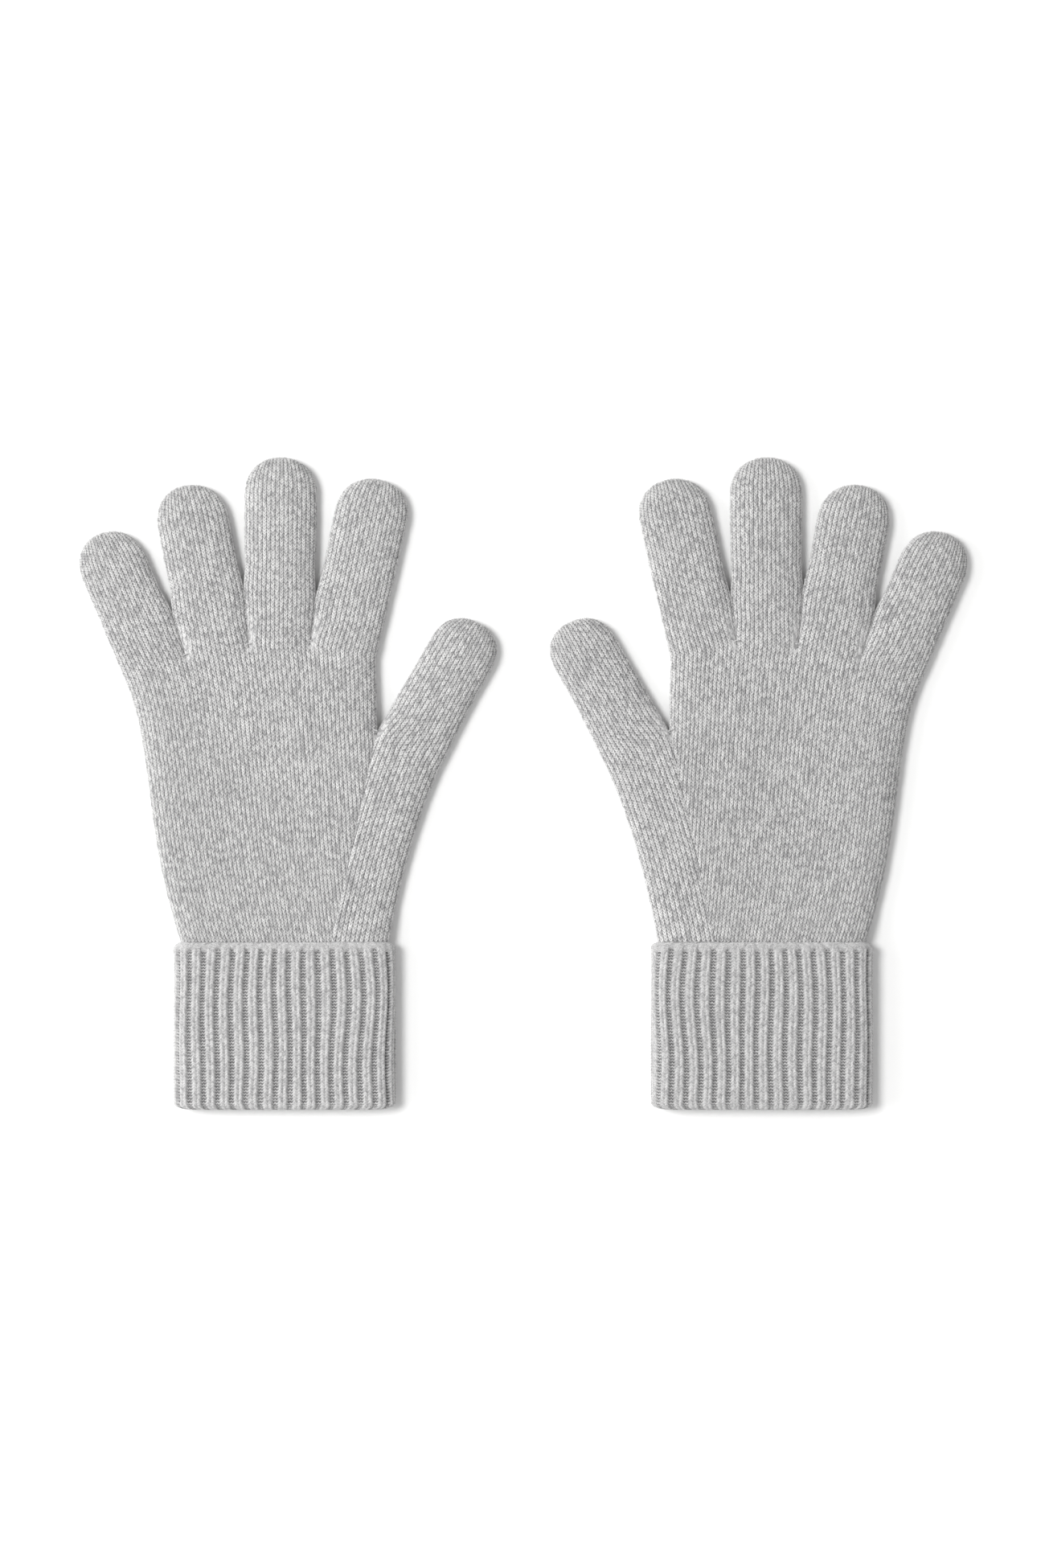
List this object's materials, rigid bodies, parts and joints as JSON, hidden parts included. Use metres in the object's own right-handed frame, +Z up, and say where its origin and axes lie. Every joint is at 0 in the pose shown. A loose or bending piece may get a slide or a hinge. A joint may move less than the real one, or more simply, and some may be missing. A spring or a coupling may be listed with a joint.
{
  "type": "knitted gloves",
  "caption": "A pair of plain knitted wool gloves lying flat, with ribbed cuffs turned up at the wrist.",
  "frame": {"origin": "on the surface that the gloves lie on, under the middle of the pair", "axes": "+Z up, out of the backs of the hands; +Y towards the fingertips; +X towards the right glove, which is the mirror image of the left one across X = 0"},
  "size_m": [0.3382, 0.25, 0.0132],
  "materials": {
    "plain_knit": "light grey mélange wool, plain knitting, matt and slightly fuzzy",
    "rib_knit": "light grey mélange wool, two by two rib, matt",
    "linking_yarn": "the same wool yarn, in linking and grafting stitches"
  },
  "bodies": {
    "left_hand": {"left_hand": "plain_knit", "left_thumb_gusset": "plain_knit", "left_wrist": "plain_knit", "left_index_knuckle": "plain_knit", "left_middle_knuckle": "plain_knit", "left_ring_knuckle": "plain_knit", "left_little_knuckle": "plain_knit", "left_thumb_root": "plain_knit", "left_little_ring_fork": "linking_yarn", "left_ring_middle_fork": "linking_yarn", "left_middle_index_fork": "linking_yarn", "left_thumb_crotch": "linking_yarn"},
    "left_cuff": {"left_cuff_inner": "rib_knit"},
    "left_turn_up": {"left_cuff_turn_up": "rib_knit", "left_cuff_edge": "linking_yarn"},
    "left_index_lower": {"left_index_lower": "plain_knit", "left_index_bend": "plain_knit"},
    "left_index_tip": {"left_index_tip": "plain_knit"},
    "left_middle_lower": {"left_middle_lower": "plain_knit", "left_middle_bend": "plain_knit"},
    "left_middle_tip": {"left_middle_tip": "plain_knit"},
    "left_ring_lower": {"left_ring_lower": "plain_knit", "left_ring_bend": "plain_knit"},
    "left_ring_tip": {"left_ring_tip": "plain_knit"},
    "left_little_lower": {"left_little_lower": "plain_knit", "left_little_bend": "plain_knit"},
    "left_little_tip": {"left_little_tip": "plain_knit"},
    "left_thumb_lower": {"left_thumb_lower": "plain_knit", "left_thumb_bend": "plain_knit"},
    "left_thumb_tip": {"left_thumb_tip": "plain_knit"},
    "right_hand": {"right_hand": "plain_knit", "right_thumb_gusset": "plain_knit", "right_wrist": "plain_knit", "right_index_knuckle": "plain_knit", "right_middle_knuckle": "plain_knit", "right_ring_knuckle": "plain_knit", "right_little_knuckle": "plain_knit", "right_thumb_root": "plain_knit", "right_little_ring_fork": "linking_yarn", "right_ring_middle_fork": "linking_yarn", "right_middle_index_fork": "linking_yarn", "right_thumb_crotch": "linking_yarn"},
    "right_cuff": {"right_cuff_inner": "rib_knit"},
    "right_turn_up": {"right_cuff_turn_up": "rib_knit", "right_cuff_edge": "linking_yarn"},
    "right_index_lower": {"right_index_lower": "plain_knit", "right_index_bend": "plain_knit"},
    "right_index_tip": {"right_index_tip": "plain_knit"},
    "right_middle_lower": {"right_middle_lower": "plain_knit", "right_middle_bend": "plain_knit"},
    "right_middle_tip": {"right_middle_tip": "plain_knit"},
    "right_ring_lower": {"right_ring_lower": "plain_knit", "right_ring_bend": "plain_knit"},
    "right_ring_tip": {"right_ring_tip": "plain_knit"},
    "right_little_lower": {"right_little_lower": "plain_knit", "right_little_bend": "plain_knit"},
    "right_little_tip": {"right_little_tip": "plain_knit"},
    "right_thumb_lower": {"right_thumb_lower": "plain_knit", "right_thumb_bend": "plain_knit"},
    "right_thumb_tip": {"right_thumb_tip": "plain_knit"}
  },
  "joints": [
    {"name": "left_wrist_bend", "type": "hinge", "parent": "left_hand", "child": "left_cuff", "pos_m": [-0.09115, -0.0515, 0.0055], "axis": [-1, 0, 0], "range_deg": [0, 60], "deforming": ["left_wrist"]},
    {"name": "left_cuff_turn_down", "type": "slide", "parent": "left_cuff", "child": "left_turn_up", "axis": [0, -1, 0], "range_m": [0, 0.065]},
    {"name": "left_index_knuckle_bend", "type": "hinge", "parent": "left_hand", "child": "left_index_lower", "pos_m": [-0.06654, 0.0605, 0.0043], "axis": [1, 0, 0], "range_deg": [0, 85], "deforming": ["left_index_knuckle"]},
    {"name": "left_index_mid_bend", "type": "hinge", "parent": "left_index_lower", "child": "left_index_tip", "pos_m": [-0.06054, 0.08751, 0.0043], "axis": [0.9762, -0.2171, 0], "range_deg": [0, 90], "deforming": ["left_index_bend"]},
    {"name": "left_middle_knuckle_bend", "type": "hinge", "parent": "left_hand", "child": "left_middle_lower", "pos_m": [-0.09261, 0.0605, 0.0043], "axis": [1, 0, 0], "range_deg": [0, 85], "deforming": ["left_middle_knuckle"]},
    {"name": "left_middle_mid_bend", "type": "hinge", "parent": "left_middle_lower", "child": "left_middle_tip", "pos_m": [-0.09246, 0.09255, 0.0043], "axis": [1, -0.0049, 0], "range_deg": [0, 90], "deforming": ["left_middle_bend"]},
    {"name": "left_ring_knuckle_bend", "type": "hinge", "parent": "left_hand", "child": "left_ring_lower", "pos_m": [-0.11807, 0.0593, 0.0043], "axis": [1, 0, 0], "range_deg": [0, 85], "deforming": ["left_ring_knuckle"]},
    {"name": "left_ring_mid_bend", "type": "hinge", "parent": "left_ring_lower", "child": "left_ring_tip", "pos_m": [-0.1235, 0.08608, 0.0043], "axis": [0.9801, 0.1986, 0], "range_deg": [0, 90], "deforming": ["left_ring_bend"]},
    {"name": "left_little_knuckle_bend", "type": "hinge", "parent": "left_hand", "child": "left_little_lower", "pos_m": [-0.14448, 0.0553, 0.0043], "axis": [1, 0, 0], "range_deg": [0, 85], "deforming": ["left_little_knuckle"]},
    {"name": "left_little_mid_bend", "type": "hinge", "parent": "left_little_lower", "child": "left_little_tip", "pos_m": [-0.1529, 0.07478, 0.0043], "axis": [0.9179, 0.3968, 0], "range_deg": [0, 90], "deforming": ["left_little_bend"]},
    {"name": "left_thumb_root_bend", "type": "hinge", "parent": "left_hand", "child": "left_thumb_lower", "pos_m": [-0.04051, 0.01905, 0.0043], "axis": [0.8667, -0.4989, 0], "range_deg": [0, 70], "deforming": ["left_thumb_root"]},
    {"name": "left_thumb_mid_bend", "type": "hinge", "parent": "left_thumb_lower", "child": "left_thumb_tip", "pos_m": [-0.02781, 0.04111, 0.0043], "axis": [0.8667, -0.4989, 0], "range_deg": [0, 80], "deforming": ["left_thumb_bend"]},
    {"name": "right_glove_lift", "type": "slide", "parent": "left_hand", "child": "right_hand", "axis": [0, 0, 1], "range_m": [0, 0.12]},
    {"name": "right_wrist_bend", "type": "hinge", "parent": "right_hand", "child": "right_cuff", "pos_m": [0.09115, -0.0515, 0.0055], "axis": [-1, 0, 0], "range_deg": [0, 60], "deforming": ["right_wrist"]},
    {"name": "right_cuff_turn_down", "type": "slide", "parent": "right_cuff", "child": "right_turn_up", "axis": [0, -1, 0], "range_m": [0, 0.065]},
    {"name": "right_index_knuckle_bend", "type": "hinge", "parent": "right_hand", "child": "right_index_lower", "pos_m": [0.06654, 0.0605, 0.0043], "axis": [1, 0, 0], "range_deg": [0, 85], "deforming": ["right_index_knuckle"]},
    {"name": "right_index_mid_bend", "type": "hinge", "parent": "right_index_lower", "child": "right_index_tip", "pos_m": [0.06054, 0.08751, 0.0043], "axis": [0.9762, 0.2171, 0], "range_deg": [0, 90], "deforming": ["right_index_bend"]},
    {"name": "right_middle_knuckle_bend", "type": "hinge", "parent": "right_hand", "child": "right_middle_lower", "pos_m": [0.09261, 0.0605, 0.0043], "axis": [1, 0, 0], "range_deg": [0, 85], "deforming": ["right_middle_knuckle"]},
    {"name": "right_middle_mid_bend", "type": "hinge", "parent": "right_middle_lower", "child": "right_middle_tip", "pos_m": [0.09246, 0.09255, 0.0043], "axis": [1, 0.0049, 0], "range_deg": [0, 90], "deforming": ["right_middle_bend"]},
    {"name": "right_ring_knuckle_bend", "type": "hinge", "parent": "right_hand", "child": "right_ring_lower", "pos_m": [0.11807, 0.0593, 0.0043], "axis": [1, 0, 0], "range_deg": [0, 85], "deforming": ["right_ring_knuckle"]},
    {"name": "right_ring_mid_bend", "type": "hinge", "parent": "right_ring_lower", "child": "right_ring_tip", "pos_m": [0.1235, 0.08608, 0.0043], "axis": [0.9801, -0.1986, 0], "range_deg": [0, 90], "deforming": ["right_ring_bend"]},
    {"name": "right_little_knuckle_bend", "type": "hinge", "parent": "right_hand", "child": "right_little_lower", "pos_m": [0.14448, 0.0553, 0.0043], "axis": [1, 0, 0], "range_deg": [0, 85], "deforming": ["right_little_knuckle"]},
    {"name": "right_little_mid_bend", "type": "hinge", "parent": "right_little_lower", "child": "right_little_tip", "pos_m": [0.1529, 0.07478, 0.0043], "axis": [0.9179, -0.3968, 0], "range_deg": [0, 90], "deforming": ["right_little_bend"]},
    {"name": "right_thumb_root_bend", "type": "hinge", "parent": "right_hand", "child": "right_thumb_lower", "pos_m": [0.04051, 0.01905, 0.0043], "axis": [0.8667, 0.4989, 0], "range_deg": [0, 70], "deforming": ["right_thumb_root"]},
    {"name": "right_thumb_mid_bend", "type": "hinge", "parent": "right_thumb_lower", "child": "right_thumb_tip", "pos_m": [0.02781, 0.04111, 0.0043], "axis": [0.8667, 0.4989, 0], "range_deg": [0, 80], "deforming": ["right_thumb_bend"]}
  ]
}
